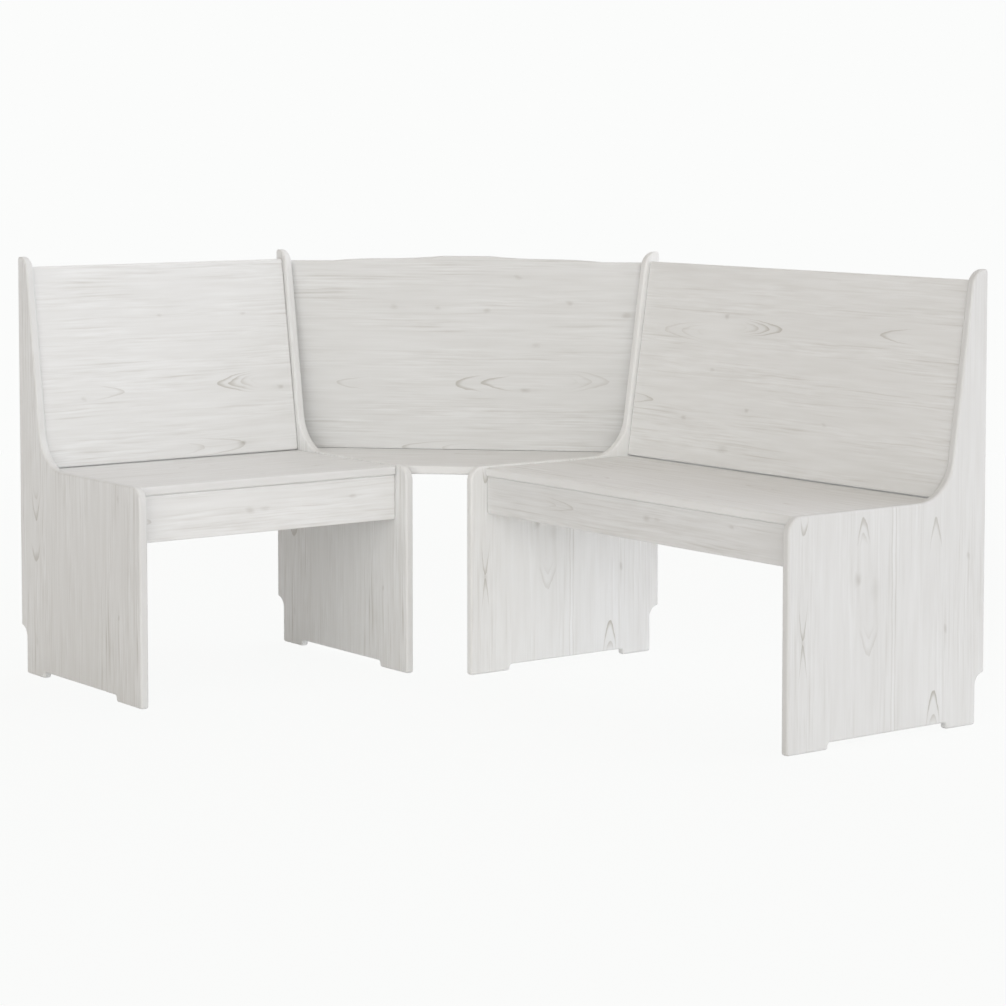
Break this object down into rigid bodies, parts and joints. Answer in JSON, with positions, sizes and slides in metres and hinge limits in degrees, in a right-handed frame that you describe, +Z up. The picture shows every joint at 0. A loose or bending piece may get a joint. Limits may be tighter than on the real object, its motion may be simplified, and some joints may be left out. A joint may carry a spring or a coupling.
{
  "type": "corner bench",
  "caption": "Corner bench of pale stained pine boards: a long and a short seat wing joined by a corner seat, with leaning backs, shaped side panels and wing aprons.",
  "frame": {"origin": "on the floor, under the middle of the bench's overall length and width", "axes": "+X along the long wing, away from the wall corner; +Y towards the wall behind the long wing; +Z up. The short wing stands at the -X side and runs towards -Y."},
  "size_m": [1.51, 1.182, 0.834],
  "materials": {
    "stained_panels": "pale grey-white stain, satin, upright grain",
    "stained_backs": "pale grey-white stain, satin, level grain",
    "stained_seats": "pale grey-white stain, satin, level grain",
    "stained_aprons": "pale grey-white stain, satin, level grain",
    "spruce_battens": "planed spruce, unfinished",
    "beech_dowels": "fluted beech, unfinished",
    "zinc_screws": "bright zinc plate"
  },
  "bodies": {
    "root": {"apron_block_screws": "zinc_screws", "apron_dowels": "beech_dowels", "back_board_screws": "zinc_screws", "back_cleat_screws": "zinc_screws", "corner_back": "stained_backs", "corner_back_screws": "zinc_screws", "corner_rear_rail": "spruce_battens", "corner_seat": "stained_seats", "corner_seat_cleat_left": "spruce_battens", "corner_seat_cleat_right": "spruce_battens", "left_divider_panel": "stained_panels", "left_end_panel": "stained_panels", "long_wing_apron": "stained_aprons", "long_wing_apron_block_left": "spruce_battens", "long_wing_apron_block_right": "spruce_battens", "long_wing_back": "stained_backs", "long_wing_back_batten": "spruce_battens", "long_wing_back_cleat_left": "spruce_battens", "long_wing_back_cleat_right": "spruce_battens", "long_wing_rear_rail": "spruce_battens", "long_wing_seat": "stained_seats", "long_wing_seat_batten": "spruce_battens", "long_wing_seat_cleat_left": "spruce_battens", "long_wing_seat_cleat_right": "spruce_battens", "rear_rail_screws": "zinc_screws", "right_divider_panel": "stained_panels", "right_end_panel": "stained_panels", "seat_board_screws": "zinc_screws", "seat_cleat_screws": "zinc_screws", "short_wing_apron": "stained_aprons", "short_wing_apron_block_left": "spruce_battens", "short_wing_apron_block_right": "spruce_battens", "short_wing_back": "stained_backs", "short_wing_back_cleat_left": "spruce_battens", "short_wing_back_cleat_right": "spruce_battens", "short_wing_rear_rail": "spruce_battens", "short_wing_seat": "stained_seats", "short_wing_seat_cleat_left": "spruce_battens", "short_wing_seat_cleat_right": "spruce_battens"}
  },
  "joints": []
}
